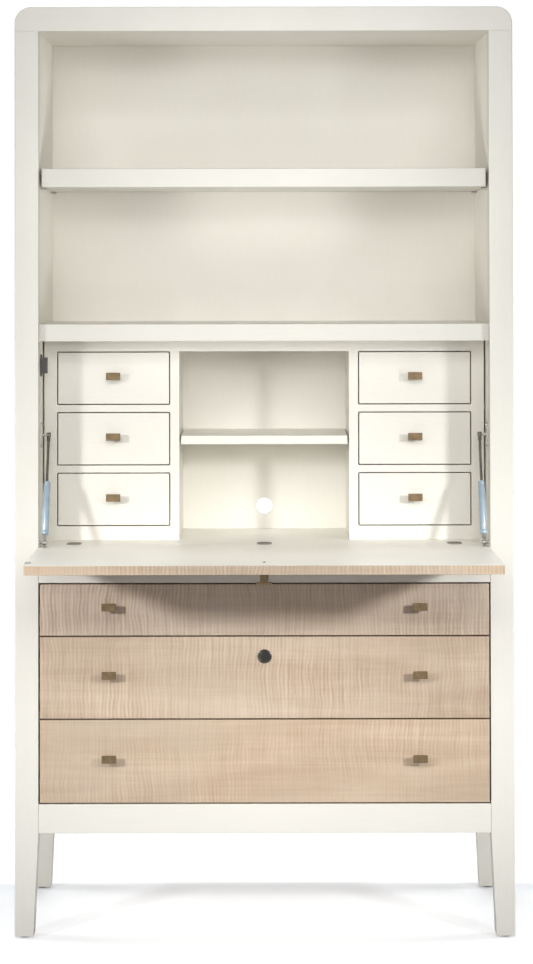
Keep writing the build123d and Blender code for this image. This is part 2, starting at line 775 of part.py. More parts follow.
def strut_line():
    """The strut's length and its forward lean from the vertical, with the lid open."""
    run = STRUT_TOP_DEPTH - STRUT_FOOT_DEPTH
    rise = STRUT_TOP_Z - (SURFACE + STRUT_FOOT_RISE)
    return math.hypot(run, rise), math.degrees(math.atan2(run, rise))


def along_strut(side, shape):
    """Moves a shape made about the origin, hanging down -Z, to the strut's line."""
    _, lean = strut_line()
    return Pos(side * STRUT_X, FRONT + STRUT_TOP_DEPTH, STRUT_TOP_Z) * Rot(-lean, 0, 0) * shape


def socket(z):
    """A round end fitting with a cross bore for its stud."""
    place = Pos(0, 0, z) * Rot(0, 90, 0)
    ring = place * Cylinder(SOCKET_RADIUS, SOCKET_WIDTH)
    bore = place * Cylinder(STUD_RADIUS + RUNNING, SOCKET_WIDTH + OVERCUT)
    return fillet(ring.edges(), SOCKET_EASING) - bore


def upright(z0, z1, radius):
    """A round bar on the strut's own line."""
    return Pos(0, 0, (z0 + z1) / 2) * Cylinder(radius, abs(z1 - z0))


def strut_rod(side):
    """The upper socket and the rod, which reaches down into the tube."""
    length, _ = strut_line()
    tube_top = TUBE_NECK_LENGTH + TUBE_LENGTH - length
    collar_top = -SOCKET_RADIUS + SOCKET_EASING
    collar = upright(collar_top, collar_top - COLLAR_LENGTH, ROD_COLLAR_RADIUS)
    rod = upright(collar_top, tube_top - ROD_LEFT_IN, ROD_RADIUS)
    return along_strut(side, socket(0) + collar + rod)


def strut_tube(side):
    """The gas tube, bored for the rod, and the lower socket."""
    length, _ = strut_line()
    bottom = TUBE_NECK_LENGTH - length
    top = bottom + TUBE_LENGTH
    tube = upright(bottom, top, TUBE_RADIUS)
    tube = fillet(tube.edges().filter_by(GeomType.CIRCLE), TUBE_EASING)
    tube -= upright(bottom + TUBE_FLOOR, top + OVERCUT, ROD_RADIUS + RUNNING)
    neck = upright(bottom + TUBE_EASING, SOCKET_RADIUS - SOCKET_EASING - length, TUBE_NECK_RADIUS)
    return along_strut(side, tube + neck + socket(-length))


def strut_wall_bracket(side):
    """A plate on the case wall with three screws and the upper stud, which stops short of its socket."""
    thickness, width, height = WALL_PLATE
    face = INNER - thickness
    depth = STRUT_TOP_DEPTH
    half = height / 2
    plate = side_block(
        side, face, INNER, depth - width / 2, depth + width / 2, STRUT_TOP_Z - half, STRUT_TOP_Z + half
    )
    plate = fillet(plate.edges().filter_by(Axis.X), WALL_PLATE_ROUND)
    for along, up in WALL_SCREW_PLACES:
        head = face - WALL_SCREW_OUT
        plate += rod_x(side * face, side * head, depth + along, STRUT_TOP_Z + up, WALL_SCREW_RADIUS)
    stud_end = STRUT_X + SOCKET_WIDTH / 2 + OPEN_PIVOT_GAP
    plate += rod_x(side * face, side * stud_end, depth, STRUT_TOP_Z, STUD_RADIUS)
    plate += rod_x(side * INNER, side * (INNER - WALL_BOSS_OUT), depth, STRUT_TOP_Z, WALL_BOSS_RADIUS)
    return plate


def lid_strut_bracket(side):
    """An angle on the lid's edge that carries the lower stud, on which the strut turns."""
    depth = STRUT_FOOT_DEPTH
    outer = LID_HALF_WIDTH - LID_ANGLE_INSET
    foot_width, foot_length, foot_thickness = LID_ANGLE_FOOT
    half = foot_length / 2
    foot_top = SURFACE + foot_thickness
    foot = side_block(side, outer - foot_width, outer, depth - half, depth + half, SURFACE, foot_top)
    foot = fillet(foot.edges().filter_by(Axis.Z), LID_ANGLE_ROUND)
    thickness, width = LID_ANGLE_UPRIGHT
    inside = outer - thickness
    top = SURFACE + STRUT_FOOT_RISE
    web = side_block(side, inside, outer, depth - width / 2, depth + width / 2, SURFACE, top)
    eye = rod_x(side * inside, side * outer, depth, top, LID_ANGLE_EYE)
    stud_end = STRUT_X - SOCKET_WIDTH / 2
    stud = rod_x(side * inside, side * stud_end, depth, top, STUD_RADIUS)
    bracket = foot + web + eye + stud
    screw_radius, screw_height = LID_ANGLE_SCREW
    x = side * (outer - LID_ANGLE_SCREW_IN)
    for offset in (-LID_ANGLE_SCREW_OFFSET, LID_ANGLE_SCREW_OFFSET):
        bracket += rod_z(x, depth + offset, foot_top, foot_top + screw_height, screw_radius)
    return bracket


# Write every piece

for prefix, side in (("left", -1), ("right", 1)):
    save(f"front_{prefix}_post", leg(side, 0))
    save(f"rear_{prefix}_leg", leg(side, DEPTH - POST))
    save(f"{prefix}_side_panel", *side_panel(side))
    save(f"{prefix}_strut_rod", strut_rod(side))
    save(f"{prefix}_strut_tube", strut_tube(side))
    for row in range(3):
        small_drawer(f"{prefix}_small_drawer_{row + 1}", side, row)

save("top_panel", top_panel())
save("foot_glides", *foot_glides())
save("back_panel", back_panel())
base_back_end = BASE_BACK + BASE_BACK_THICKNESS
base_back = block(-INNER, INNER, BASE_BACK, base_back_end, BASE_BOTTOM, LID_BOTTOM)
save("base_back_panel", base_back)
save("desk_surface", desk_surface())
save("upper_shelf", upper_shelf())
save("mid_shelf", mid_shelf())
save("front_rail", front_rail())
save("apron", apron())
save("inner_frame", *inner_frame())
save("drawer_runners", *drawer_runners())
save("organizer_frame", organizer_frame())
save("organizer_partitions", *organizer_partitions())
save("cubby_shelf", cubby_shelf())
save("shelf_pins", *[shelf_pin(x, depth, z) for x, depth, z in pin_places()])
save("magnet_catch", magnet_catch())
save("strut_wall_brackets", strut_wall_bracket(-1), strut_wall_bracket(1))
save("desk_hinge_cups", *desk_hinge_leaves())

for index, name in enumerate(("top_drawer", "middle_drawer", "bottom_drawer")):
    base_drawer(name, GAP_HEIGHTS[index], GAP_HEIGHTS[index + 1])
save("lock_body", lock_body())
save("lock_plug", lock_plug())

save("lid_panel", lid_panel())
save("lid_writing_face", lid_writing_face())
save("lid_hinge_cups", *lid_hinge_leaves())
save("lid_strut_brackets", lid_strut_bracket(-1), lid_strut_bracket(1))
save("lid_strike", lid_strike())
save("lid_pull", lid_pull())
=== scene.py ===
import math
import random

import bmesh
import bpy
from mathutils import Matrix, Vector

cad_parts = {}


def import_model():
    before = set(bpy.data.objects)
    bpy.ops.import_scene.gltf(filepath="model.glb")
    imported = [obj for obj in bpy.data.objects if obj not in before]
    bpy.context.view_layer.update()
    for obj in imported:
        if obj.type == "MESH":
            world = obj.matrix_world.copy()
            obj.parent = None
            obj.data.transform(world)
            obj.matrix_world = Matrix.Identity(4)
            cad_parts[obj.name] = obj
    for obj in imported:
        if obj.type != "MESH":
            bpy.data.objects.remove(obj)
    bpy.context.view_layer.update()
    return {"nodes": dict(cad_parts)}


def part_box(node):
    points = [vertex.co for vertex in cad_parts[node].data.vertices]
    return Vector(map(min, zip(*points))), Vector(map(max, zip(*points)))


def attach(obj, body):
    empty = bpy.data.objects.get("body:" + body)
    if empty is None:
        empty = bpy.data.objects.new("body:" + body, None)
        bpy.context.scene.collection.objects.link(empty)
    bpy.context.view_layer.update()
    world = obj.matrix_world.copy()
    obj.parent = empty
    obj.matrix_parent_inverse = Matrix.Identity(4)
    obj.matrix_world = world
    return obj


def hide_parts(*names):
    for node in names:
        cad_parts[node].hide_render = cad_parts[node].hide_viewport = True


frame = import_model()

# ---------------------------------------------------------------- places
# Metres, in the frame's own axes: -Y is the front and Z is up.

MM = 0.001
FRONT_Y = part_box("front_left_post")[0][1]
REAR_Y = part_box("rear_left_leg")[1][1]
SURFACE_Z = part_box("desk_surface")[1][2]
SIDES = (("left", -1), ("right", 1))
SMALL_ROWS = (1, 2, 3)
DRAWERS = ("top", "middle", "bottom")

# ---------------------------------------------------------------- node helpers


class Nodes:
    """Adds shader nodes to one material and joins them."""

    def __init__(self, name):
        self.material = bpy.data.materials.new(name)
        self.material.use_nodes = True
        self.tree = self.material.node_tree
        self.shader = self.tree.nodes["Principled BSDF"]
        self.coords = self.tree.nodes.new("ShaderNodeTexCoord").outputs["Object"]

    def join(self, source, target):
        self.tree.links.new(source, target)

    def set(self, **values):
        for name, value in values.items():
            self.shader.inputs[name.replace("_", " ")].default_value = value

    def stretched(self, scale, offset=(0, 0, 0), source=None):
        node = self.tree.nodes.new("ShaderNodeMapping")
        node.inputs["Scale"].default_value = scale
        node.inputs["Location"].default_value = offset
        self.join(source or self.coords, node.inputs["Vector"])
        return node.outputs["Vector"]

    def noise(self, vector, scale, detail=3.0, roughness=0.55, distortion=0.0):
        node = self.tree.nodes.new("ShaderNodeTexNoise")
        node.inputs["Scale"].default_value = scale
        node.inputs["Detail"].default_value = detail
        node.inputs["Roughness"].default_value = roughness
        node.inputs["Distortion"].default_value = distortion
        self.join(vector, node.inputs["Vector"])
        return node.outputs["Fac"]

    def waves(self, vector, scale, distortion, detail=2.0, detail_scale=1.0):
        node = self.tree.nodes.new("ShaderNodeTexWave")
        node.wave_type = "BANDS"
        node.bands_direction = "X"
        node.inputs["Scale"].default_value = scale
        node.inputs["Distortion"].default_value = distortion
        node.inputs["Detail"].default_value = detail
        node.inputs["Detail Scale"].default_value = detail_scale
        self.join(vector, node.inputs["Vector"])
        return node.outputs["Fac"]

    def math(self, operation, first, second):
        node = self.tree.nodes.new("ShaderNodeMath")
        node.operation = operation
        for socket, value in zip(node.inputs, (first, second)):
            if isinstance(value, (int, float)):
                socket.default_value = value
            else:
                self.join(value, socket)
        return node.outputs["Value"]

    def spread(self, value, low, high, to_low=0.0, to_high=1.0):
        node = self.tree.nodes.new("ShaderNodeMapRange")
        node.inputs["From Min"].default_value = low
        node.inputs["From Max"].default_value = high
        node.inputs["To Min"].default_value = to_low
        node.inputs["To Max"].default_value = to_high
        self.join(value, node.inputs["Value"])
        return node.outputs["Result"]

    def mix(self, factor, first, second):
        node = self.tree.nodes.new("ShaderNodeMix")
        node.data_type = "RGBA"
        node.clamp_factor = True
        self.join(factor, node.inputs["Factor"])
        for socket, value in ((node.inputs[6], first), (node.inputs[7], second)):
            if isinstance(value, tuple):
                socket.default_value = (*value, 1.0)
            else:
                self.join(value, socket)
        return node.outputs[2]

    def bump(self, height, strength, distance, normal=None):
        node = self.tree.nodes.new("ShaderNodeBump")
        node.inputs["Strength"].default_value = strength
        node.inputs["Distance"].default_value = distance
        self.join(height, node.inputs["Height"])
        if normal is not None:
            self.join(normal, node.inputs["Normal"])
        self.join(node.outputs["Normal"], self.shader.inputs["Normal"])

    def soft_edges(self, radius):
        """A normal that rounds the sharp edges off by a small radius."""
        node = self.tree.nodes.new("ShaderNodeBevel")
        node.samples = 4
        node.inputs["Radius"].default_value = radius
        return node.outputs["Normal"]

    def colour(self, socket):
        self.join(socket, self.shader.inputs["Base Color"])

    def rough(self, socket):
        self.join(socket, self.shader.inputs["Roughness"])


# ---------------------------------------------------------------- materials

ALONG = {"x": (1.0, 12.0, 12.0), "y": (12.0, 1.0, 12.0), "z": (12.0, 12.0, 1.0)}
METAL_GRAIN = (300.0, 30.0, 30.0)
PAINT_LIGHT = (0.830, 0.808, 0.742)
PAINT_DARK = (0.795, 0.770, 0.698)
PAINT_EDGE = 1.6 * MM
MAPLE_EDGE = 1.0 * MM
METAL_EDGE = 0.6 * MM


def painted(name, direction, tint=1.0):
    """Satin cream paint, brushed along one axis, with a faint mottle."""
    n = Nodes(name)
    strokes = n.noise(n.stretched(ALONG[direction]), scale=26.0, detail=4.0, roughness=0.6)
    mottle = n.noise(n.coords, scale=2.3, detail=3.0, roughness=0.5)
    # A tint above 1.0 gives a lighter copy of the cream as painted light, and a tint below 1.0 gives a darker
    # copy as painted shade.
    light = tuple(tint * c for c in PAINT_LIGHT)
    dark = tuple(tint * c for c in PAINT_DARK)
    mixed = n.math("ADD", n.math("MULTIPLY", strokes, 0.35), n.math("MULTIPLY", mottle, 0.65))
    n.colour(n.mix(n.spread(mixed, 0.35, 0.65), light, dark))
    n.rough(n.spread(n.noise(n.coords, scale=9.0), 0.3, 0.7, 0.34, 0.46))
    fine = n.noise(n.coords, scale=900.0, detail=2.0, roughness=0.5)
    height = n.math("ADD", n.math("MULTIPLY", strokes, 0.7), n.math("MULTIPLY", fine, 0.3))
    n.bump(height, strength=0.16, distance=0.6 * MM, normal=n.soft_edges(PAINT_EDGE))
    n.set(Specular_IOR_Level=0.45, Coat_Weight=0.12, Coat_Roughness=0.3)
    return n.material


def curly_maple(name, seed, figure=1.0, warmth=0.0, tint=1.0):
    """Bleached maple: the grain runs across, the curl stands upright."""
    n = Nodes(name)
    rng = random.Random(seed)
    shift = tuple(rng.uniform(-3.0, 3.0) for _ in range(3))
    place = n.stretched((1.0, 1.0, 1.0), shift)

    # The upright bands sway a little from side to side.
    sway = n.noise(n.stretched((4.0, 4.0, 6.0), source=place), scale=1.0, detail=3.0)
    bend = n.tree.nodes.new("ShaderNodeCombineXYZ")
    n.join(n.math("MULTIPLY", sway, 0.032), bend.inputs["X"])
    bent = n.tree.nodes.new("ShaderNodeVectorMath")
    bent.operation = "ADD"
    n.join(place, bent.inputs[0])
    n.join(bend.outputs["Vector"], bent.inputs[1])
    bent_place = bent.outputs["Vector"]

    # The curl is part even ripple and part streaks, and it comes and goes in patches.
    ripple = n.waves(n.stretched((1.0, 0.35, 0.35), source=bent_place),
                     scale=40.0, distortion=3.0, detail=2.0, detail_scale=1.6)
    streaks = n.noise(n.stretched((150.0, 9.0, 9.0), source=bent_place), scale=1.0, detail=3.0)
    streaks = n.spread(streaks, 0.30, 0.70)
    curl = n.math("ADD", n.math("MULTIPLY", ripple, 0.42), n.math("MULTIPLY", streaks, 0.58))
    patch = n.noise(n.stretched((3.4, 3.4, 6.0), source=place), scale=1.0, detail=2.0)
    patch = n.spread(patch, 0.36, 0.66, 0.30, 1.0)
    curl = n.math("MULTIPLY", n.math("SUBTRACT", curl, 0.5), patch)

    # Fine grain and broad bands run across, and all three make up the tone.
    grain = n.noise(n.stretched((4.0, 60.0, 260.0), source=place), scale=1.0, detail=5.0, roughness=0.6)
    boards = n.noise(n.stretched((2.2, 4.0, 15.0), source=place),
                     scale=1.0, detail=4.0, roughness=0.6, distortion=0.6)
    tone = n.math("MULTIPLY", curl, 1.30 * figure)
    tone = n.math("ADD", tone, n.math("MULTIPLY", n.math("SUBTRACT", grain, 0.5), 0.60))
    tone = n.math("ADD", tone, n.math("MULTIPLY", n.math("SUBTRACT", boards, 0.5), 1.6))
    tone = n.math("ADD", tone, 0.5)
    pale = (tint * (0.655 + 0.02 * warmth), tint * 0.525, tint * (0.400 - 0.03 * warmth))
    deep = (tint * (0.435 + 0.02 * warmth), tint * 0.318, tint * (0.222 - 0.02 * warmth))

    # Greyer clouds, where the bleach took more, lie over it all.
    grey = tuple(tint * c for c in (0.530, 0.452, 0.366))
    bleach = n.noise(n.stretched((2.6, 2.6, 4.2), source=place),
                     scale=1.0, detail=3.0, roughness=0.5, distortion=0.5)
    n.colour(n.mix(n.spread(bleach, 0.44, 0.74, 0.0, 0.42), n.mix(tone, deep, pale), grey))
    n.rough(n.spread(curl, -0.5, 0.5, 0.46, 0.36))
    height = n.math("ADD", grain, n.math("MULTIPLY", curl, 0.4))
    n.bump(height, strength=0.12, distance=0.4 * MM, normal=n.soft_edges(MAPLE_EDGE))
    n.set(Specular_IOR_Level=0.4, Coat_Weight=0.18, Coat_Roughness=0.28)
    return n.material


def birch(name, seed, deep=(0.60, 0.44, 0.27), pale=(0.74, 0.59, 0.40)):
    """Clear-lacquered drawer sides, grained along their length."""
    n = Nodes(name)
    rng = random.Random(seed)
    place = n.stretched((1.0, 1.0, 1.0), tuple(rng.uniform(-2.0, 2.0) for _ in range(3)))
    grain = n.noise(n.stretched((14.0, 5.0, 160.0), source=place),
                    scale=1.0, detail=5.0, roughness=0.6, distortion=0.3)
    cloud = n.noise(n.stretched((2.0, 2.0, 12.0), source=place), scale=1.0, detail=3.0)
    tone = n.math("ADD", n.math("MULTIPLY", grain, 0.6), n.math("MULTIPLY", cloud, 0.4))
    n.colour(n.mix(n.spread(tone, 0.3, 0.7), deep, pale))
    n.rough(n.spread(grain, 0.3, 0.7, 0.5, 0.38))
    n.bump(grain, strength=0.15, distance=0.4 * MM)
    n.set(Specular_IOR_Level=0.4)
    return n.material


def hardboard(name):
    """The thin painted back of the base, a little rougher than the case."""
    n = Nodes(name)
    fibre = n.noise(n.coords, scale=420.0, detail=4.0, roughness=0.7)
    mottle = n.noise(n.coords, scale=3.0, detail=3.0)
    tone = n.math("ADD", n.math("MULTIPLY", fibre, 0.5), n.math("MULTIPLY", mottle, 0.5))
    n.colour(n.mix(n.spread(tone, 0.3, 0.7), (0.70, 0.66, 0.57), (0.77, 0.74, 0.66)))
    n.rough(n.spread(fibre, 0.3, 0.7, 0.6, 0.75))
    n.bump(fibre, strength=0.3, distance=0.3 * MM)
    return n.material


def metal(name, light, dark, roughness, metallic=1.0):
    """Brushed or plated metal with small differences of tone."""
    n = Nodes(name)
    brushed = n.noise(n.stretched(METAL_GRAIN), scale=4.0, detail=3.0, roughness=0.6)
    cloud = n.noise(n.coords, scale=60.0, detail=3.0)
    tone = n.math("ADD", n.math("MULTIPLY", brushed, 0.5), n.math("MULTIPLY", cloud, 0.5))
    n.colour(n.mix(n.spread(tone, 0.35, 0.65), dark, light))
    n.rough(n.spread(tone, 0.3, 0.7, roughness + 0.08, roughness - 0.06))
    n.bump(brushed, strength=0.12, distance=0.1 * MM, normal=n.soft_edges(METAL_EDGE))
    n.set(Metallic=metallic)
    return n.material


def plastic(name, light, dark, roughness):
    """Moulded plastic or rubber with a fine matt grain."""
    n = Nodes(name)
    grain = n.noise(n.coords, scale=1400.0, detail=2.0)
    cloud = n.noise(n.coords, scale=40.0, detail=2.0)
    n.colour(n.mix(cloud, dark, light))
    n.rough(n.spread(cloud, 0.3, 0.7, roughness, roughness + 0.1))
    n.bump(grain, strength=0.15, distance=0.1 * MM)
    return n.material


PAINT_X = painted("paint_across", "x")
PAINT_Y = painted("paint_front_to_back", "y")
PAINT_Z = painted("paint_upright", "z")
# The back, walls, desk and lid's writing face take lighter copies of the same cream: painted light where the
# lamps reach them too little.
BACK_PAINT_PAINTED_LIGHT = painted("paint_back_painted_light", "z", tint=1.07)
WALL_PAINT_PAINTED_LIGHT = painted("paint_walls_painted_light", "z", tint=1.15)
DESK_PAINT_PAINTED_LIGHT = painted("paint_desk_painted_light", "x", tint=1.10)
# The shelves take darker copies of the same cream: painted shade where the lamps light them too much.
SHELF_PAINT_PAINTED_SHADE = painted("paint_shelf_painted_shade", "x", tint=0.90)
UPPER_SHELF_PAINT_PAINTED_SHADE = painted("paint_upper_shelf_painted_shade", "x", tint=0.84)
BIRCH = birch("birch", seed=4)
HARDBOARD = hardboard("hardboard")
BRASS = metal("aged_brass", (0.290, 0.205, 0.112), (0.150, 0.103, 0.054), roughness=0.46, metallic=0.55)
BRONZE = metal("dark_bronze", (0.200, 0.195, 0.175), (0.035, 0.035, 0.030), roughness=0.22, metallic=0.9)
PLUG_BRONZE = metal("plug_bronze", (0.100, 0.098, 0.088), (0.040, 0.040, 0.035), roughness=0.30, metallic=0.8)
HINGE = metal("hinge_nickel", (0.34, 0.32, 0.28), (0.20, 0.19, 0.165), roughness=0.34, metallic=0.9)
STEEL = metal("zinc_steel", (0.72, 0.71, 0.68), (0.46, 0.45, 0.43), roughness=0.28)
ROD = metal("strut_rod_steel", (0.36, 0.35, 0.32), (0.20, 0.19, 0.17), roughness=0.22)
TUBE = metal("strut_enamel", (0.50, 0.62, 0.71), (0.36, 0.47, 0.57), roughness=0.36, metallic=0.35)
RUBBER = plastic("black_rubber", (0.045, 0.045, 0.045), (0.02, 0.02, 0.02), roughness=0.6)
END_GRAIN = birch("birch_end_grain", seed=9, deep=(0.40, 0.27, 0.15), pale=(0.54, 0.39, 0.235))
PLASTIC = plastic("grey_plastic", (0.135, 0.130, 0.120), (0.075, 0.072, 0.066), roughness=0.42)

MAPLE = {
    "top_drawer_front": curly_maple("maple_top_drawer", seed=11, figure=1.25, warmth=-0.6),
    "middle_drawer_front": curly_maple("maple_middle_drawer", seed=23, figure=0.9),
    "bottom_drawer_front": curly_maple("maple_bottom_drawer", seed=37, figure=0.65, warmth=0.5),
    "lid_panel": curly_maple("maple_lid", seed=51, figure=1.1, warmth=0.4, tint=1.10),
}

NODE_MATERIALS = {
    "front_left_post": PAINT_Z,
    "front_right_post": PAINT_Z,
    "rear_left_leg": PAINT_Z,
    "rear_right_leg": PAINT_Z,
    "left_side_panel": WALL_PAINT_PAINTED_LIGHT,
    "right_side_panel": WALL_PAINT_PAINTED_LIGHT,
    "top_panel": PAINT_X,
    "back_panel": BACK_PAINT_PAINTED_LIGHT,
    "base_back_panel": HARDBOARD,
    "desk_surface": DESK_PAINT_PAINTED_LIGHT,
    "lid_writing_face": DESK_PAINT_PAINTED_LIGHT,
    "upper_shelf": UPPER_SHELF_PAINT_PAINTED_SHADE,
    "mid_shelf": SHELF_PAINT_PAINTED_SHADE,
    "cubby_shelf": PAINT_X,
    "front_rail": PAINT_X,
    "apron": PAINT_X,
    "organizer_frame": PAINT_X,
    "organizer_partitions": PAINT_Y,
    "inner_frame": BIRCH,
    "drawer_runners": STEEL,
    "shelf_pins": STEEL,
    "strut_wall_brackets": STEEL,
    "lid_strut_brackets": STEEL,
    "lid_strike": STEEL,
    "foot_glides": PLASTIC,
    "magnet_catch": PLASTIC,
    "desk_hinge_cups": HINGE,
    "lid_hinge_cups": HINGE,
    "lid_pull": BRASS,
    "lock_body": BRONZE,
    "lock_plug": PLUG_BRONZE,
}
for prefix, _ in SIDES:
    NODE_MATERIALS[f"{prefix}_strut_rod"] = ROD
    NODE_MATERIALS[f"{prefix}_strut_tube"] = TUBE
    for row in SMALL_ROWS:
        NODE_MATERIALS[f"{prefix}_small_drawer_{row}"] = PAINT_X
        NODE_MATERIALS[f"{prefix}_small_pull_{row}"] = BRASS
for prefix in DRAWERS:
    NODE_MATERIALS[f"{prefix}_drawer_box"] = BIRCH
    NODE_MATERIALS[f"{prefix}_drawer_slides"] = STEEL
    NODE_MATERIALS[f"{prefix}_drawer_pulls"] = BRASS
NODE_MATERIALS.update(MAPLE)

for node, piece in frame["nodes"].items():
    for slot in piece.material_slots:
        slot.link = "OBJECT"
        slot.material = NODE_MATERIALS[node]

# ---------------------------------------------------------------- detail pieces
# Sizes are in millimetres, and SLIDE_SCREWS are fractions of a channel's length.
# A profile is a list of (distance along the axis, radius) pairs.

SHARP_ANGLE = math.radians(32)
STRUT_FOOT_RISE = 10.0
SOCKET_PROFILE = [(-4.5, 3.1), (-4.5, 4.5), (-3.6, 5.5), (3.6, 5.5), (4.5, 4.5), (4.5, 3.1)]
TUBE_PROFILE = [
    (24.0, 3.1), (24.0, 0.6), (18.0, 0.6), (18.0, 5.4), (18.8, 6.7), (20.0, 7.3),
    (25.5, 7.4), (26.4, 6.9), (27.6, 6.9), (28.5, 7.45), (129.0, 7.5), (130.0, 7.0),
    (131.2, 7.0), (132.2, 7.45), (136.6, 7.4), (137.6, 6.8), (138.0, 5.6), (138.0, 3.1),
]
NECK_PROFILE = [(4.6, 3.4), (9.0, 3.0), (10.0, 4.6), (14.0, 4.6), (14.8, 3.6), (19.0, 3.6)]
SEAL_PROFILE = [(136.4, 5.4), (138.3, 5.2), (138.6, 3.12), (136.4, 3.12)]
ROD_BOTTOM = 121.0
ROD_RADIUS = 3.0
ROD_CHAMFER = 0.6
ROD_TOP_GAP = 5.0
COLLAR_LENGTH = 9.0
COLLAR_RADIUS = 4.2
COLLAR_CHAMFER = 0.4
CHANNEL_SHEET = 1.2
CHANNEL_LIP = 3.2
RUNNER_HEIGHT = 40.0
RUNNER_DEPTH = 6.0
SLIDE_SCREWS = (0.08, 0.36, 0.64, 0.92)
SLIDE_SCREW_RADIUS = 3.2
SLIDE_SCREW_RISE = 1.3
TAIL_MARGIN = 7.0
TAIL_PITCH = 22.0
TAIL_PROUD = 0.08
TAIL_LONG = 12.0
TAIL_WIDE = 7.5
TAIL_NARROW = 5.2
PULL_WIDTH = 31.0
PULL_SCREW_RADIUS = 3.6
PULL_SCREW_RISE = 1.5
BOX_BOARD = 12.0
SMALL_BOX_BOARD = 8.0
SMALL_FRONT = 16.0
BACK_SCREW_INSET = 8.0
BACK_SCREW_RADIUS = 3.4
BACK_SCREW_RISE = 0.7
LOCK_SIDES = 64
LOCK_PROFILE = [
    (24.0, 9.1), (24.0, 13.0), (20.0, 13.0), (20.0, 10.9), (0.0, 10.9),
    (0.0, 15.0), (-1.6, 15.0), (-3.0, 14.2), (-3.5, 13.2), (-3.1, 12.6),
    (-3.1, 12.1), (-3.7, 11.6), (-4.4, 10.6), (-4.4, 9.6), (-3.9, 9.1),
]


def finished(name, shape, material, body):
    """Turns a bmesh into a smooth piece, sharp at its corners, that rides on a body."""
    bmesh.ops.recalc_face_normals(shape, faces=shape.faces[:])
    mesh = bpy.data.meshes.new(name)
    for face in shape.faces:
        face.smooth = True
    shape.to_mesh(mesh)
    shape.free()
    mesh.set_sharp_from_angle(angle=SHARP_ANGLE)
    mesh.materials.append(material)
    piece = bpy.data.objects.new(name, mesh)
    bpy.context.collection.objects.link(piece)
    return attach(piece, body)


def add_turned(shape, profile, place, direction, hollow=False, sides=36):
    """Spins a profile round an axis; a hollow one closes on itself."""
    turn = Vector((0, 0, 1)).rotation_difference(Vector(direction).normalized())
    rings = []
    for along, radius in profile:
        ring = []
        for step in range(sides):
            angle = 2 * math.pi * step / sides
            point = Vector((radius * math.cos(angle), radius * math.sin(angle), along)) * MM
            ring.append(shape.verts.new(Vector(place) + turn @ point))
        rings.append(ring)
    if hollow:
        rings.append(rings[0])
    else:
        shape.faces.new(rings[0])
        shape.faces.new(rings[-1])
    for low, high in zip(rings, rings[1:]):
        for step in range(sides):
            after = (step + 1) % sides
            shape.faces.new((low[step], low[after], high[after], high[step]))


def add_extruded(shape, outline, place, across, up, along, length):
    """Extrudes an outline of (across, up) points in mm by a length in metres."""
    ends = []
    for reach in (0.0, length):
        start = Vector(place) + Vector(along) * reach
        points = [start + (Vector(across) * a + Vector(up) * u) * MM for a, u in outline]
        ends.append([shape.verts.new(point) for point in points])
    shape.faces.new(ends[0])
    shape.faces.new(ends[1])
    for step in range(len(outline)):
        after = (step + 1) % len(outline)
        shape.faces.new((ends[0][step], ends[0][after], ends[1][after], ends[1][step]))


def add_screw(shape, place, direction, radius, rise):
    """A pan-head screw with a round recess, on a face that looks along direction."""
    dome = [(0.0, radius), (rise * 0.35, radius), (rise * 0.75, radius * 0.86), (rise, radius * 0.62)]
    recess = [(rise, radius * 0.30), (rise * 0.4, radius * 0.12)]
    add_turned(shape, dome + recess, place, direction, sides=24)


def strut_points(prefix):
    """The strut's lower and upper pivots, with the lid open."""
    tube_low, tube_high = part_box(f"{prefix}_strut_tube")
    wall_low, wall_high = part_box("strut_wall_brackets")
    middle = (tube_low[0] + tube_high[0]) / 2
    top = Vector((middle, (wall_low[1] + wall_high[1]) / 2, (wall_low[2] + wall_high[2]) / 2))
    bracket_low, bracket_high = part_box("lid_strut_brackets")
    foot = Vector((middle, (bracket_low[1] + bracket_high[1]) / 2, SURFACE_Z + STRUT_FOOT_RISE * MM))
    return foot, top


def strut(prefix):
    """A gas strut: rolled tube with a seal, bright rod, and a socket at each end."""
    foot, top = strut_points(prefix)
    line = (top - foot).normalized()
    length = (top - foot).length / MM
    shape = bmesh.new()
    add_turned(shape, TUBE_PROFILE, foot, line, hollow=True)
    tube = finished(f"{prefix}_gas_tube", shape, TUBE, f"{prefix}_tube")
    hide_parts(f"{prefix}_strut_tube")
    shape = bmesh.new()
    add_turned(shape, NECK_PROFILE, foot, line)
    add_turned(shape, SOCKET_PROFILE, foot, (1, 0, 0), hollow=True)
    finished(f"{prefix}_tube_end", shape, STEEL, f"{prefix}_tube")
    shape = bmesh.new()
    add_turned(shape, SEAL_PROFILE, foot, line, hollow=True)
    finished(f"{prefix}_tube_seal", shape, RUBBER, f"{prefix}_tube")
    shape = bmesh.new()
    rod_top = length - ROD_TOP_GAP
    collar_low = rod_top - COLLAR_LENGTH
    bar = [
        (ROD_BOTTOM, ROD_RADIUS - ROD_CHAMFER), (ROD_BOTTOM + ROD_CHAMFER, ROD_RADIUS),
        (collar_low, ROD_RADIUS), (collar_low + COLLAR_CHAMFER, COLLAR_RADIUS), (rod_top, COLLAR_RADIUS),
    ]
    add_turned(shape, bar, foot, line)
    add_turned(shape, SOCKET_PROFILE, top, (1, 0, 0), hollow=True)
    rod = finished(f"{prefix}_gas_rod", shape, ROD, f"{prefix}_rod")
    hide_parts(f"{prefix}_strut_rod")


